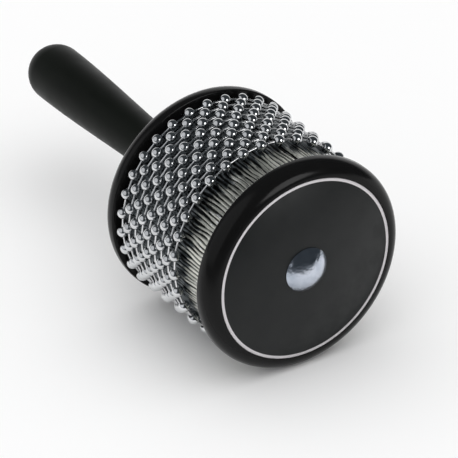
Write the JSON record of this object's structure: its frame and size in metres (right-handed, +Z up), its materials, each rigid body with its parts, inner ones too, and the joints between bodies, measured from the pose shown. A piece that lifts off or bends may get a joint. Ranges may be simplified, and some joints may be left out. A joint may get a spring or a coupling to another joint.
{
  "type": "cabasa",
  "caption": "Hand percussion: loops of steel ball chain turn round a ridged steel sleeve between two black flanges on a swelling black handle.",
  "frame": {"origin": "on the drum's axis, in the middle of the handle's grip, 60 mm behind the rear flange", "axes": "+X along the drum's axis from the grip to the front face, +Z up with the instrument level"},
  "size_m": [0.2014, 0.088, 0.088],
  "materials": {
    "handle_plastic": "satin",
    "insert_brass": "machined",
    "flange_plastic": "gloss",
    "face_plastic": "printed satin",
    "core_plastic": "moulded",
    "sleeve_steel": "ridged",
    "bolt_chrome": "polished",
    "bead_chrome": "polished",
    "link_steel": "polished"
  },
  "bodies": {
    "drum_and_handle": {"handle": "handle_plastic", "handle_insert": "insert_brass", "rear_flange": "flange_plastic", "front_flange": "flange_plastic", "face_disc": "face_plastic", "drum_core": "core_plastic", "ridged_sleeve": "sleeve_steel", "carriage_bolt": "bolt_chrome"},
    "loop_1": {"bead_loop_1": "bead_chrome", "link_loop_1": "link_steel"},
    "loop_2": {"bead_loop_2": "bead_chrome", "link_loop_2": "link_steel"},
    "loop_3": {"bead_loop_3": "bead_chrome", "link_loop_3": "link_steel"},
    "loop_4": {"bead_loop_4": "bead_chrome", "link_loop_4": "link_steel"},
    "loop_5": {"bead_loop_5": "bead_chrome", "link_loop_5": "link_steel"},
    "loop_6": {"bead_loop_6": "bead_chrome", "link_loop_6": "link_steel"},
    "loop_7": {"bead_loop_7": "bead_chrome", "link_loop_7": "link_steel"},
    "loop_8": {"bead_loop_8": "bead_chrome", "link_loop_8": "link_steel"},
    "loop_9": {"bead_loop_9": "bead_chrome", "link_loop_9": "link_steel"}
  },
  "joints": [
    {"name": "loop_1_spin", "type": "hinge", "parent": "drum_and_handle", "child": "loop_1", "pos_m": [0, 0, 0], "axis": [1, 0, 0], "continuous": true},
    {"name": "pack_slide", "type": "slide", "parent": "loop_1", "child": "loop_2", "axis": [1, 0, 0], "range_m": [0, 0.0167]},
    {"name": "loop_3_spin", "type": "hinge", "parent": "loop_2", "child": "loop_3", "pos_m": [0, 0, 0], "axis": [1, 0, 0], "continuous": true},
    {"name": "loop_4_spin", "type": "hinge", "parent": "loop_2", "child": "loop_4", "pos_m": [0, 0, 0], "axis": [1, 0, 0], "continuous": true},
    {"name": "loop_5_spin", "type": "hinge", "parent": "loop_2", "child": "loop_5", "pos_m": [0, 0, 0], "axis": [1, 0, 0], "continuous": true},
    {"name": "loop_6_spin", "type": "hinge", "parent": "loop_2", "child": "loop_6", "pos_m": [0, 0, 0], "axis": [1, 0, 0], "continuous": true},
    {"name": "loop_7_spin", "type": "hinge", "parent": "loop_2", "child": "loop_7", "pos_m": [0, 0, 0], "axis": [1, 0, 0], "continuous": true},
    {"name": "loop_8_spin", "type": "hinge", "parent": "loop_2", "child": "loop_8", "pos_m": [0, 0, 0], "axis": [1, 0, 0], "continuous": true},
    {"name": "loop_9_spin", "type": "hinge", "parent": "loop_2", "child": "loop_9", "pos_m": [0, 0, 0], "axis": [1, 0, 0], "continuous": true}
  ]
}
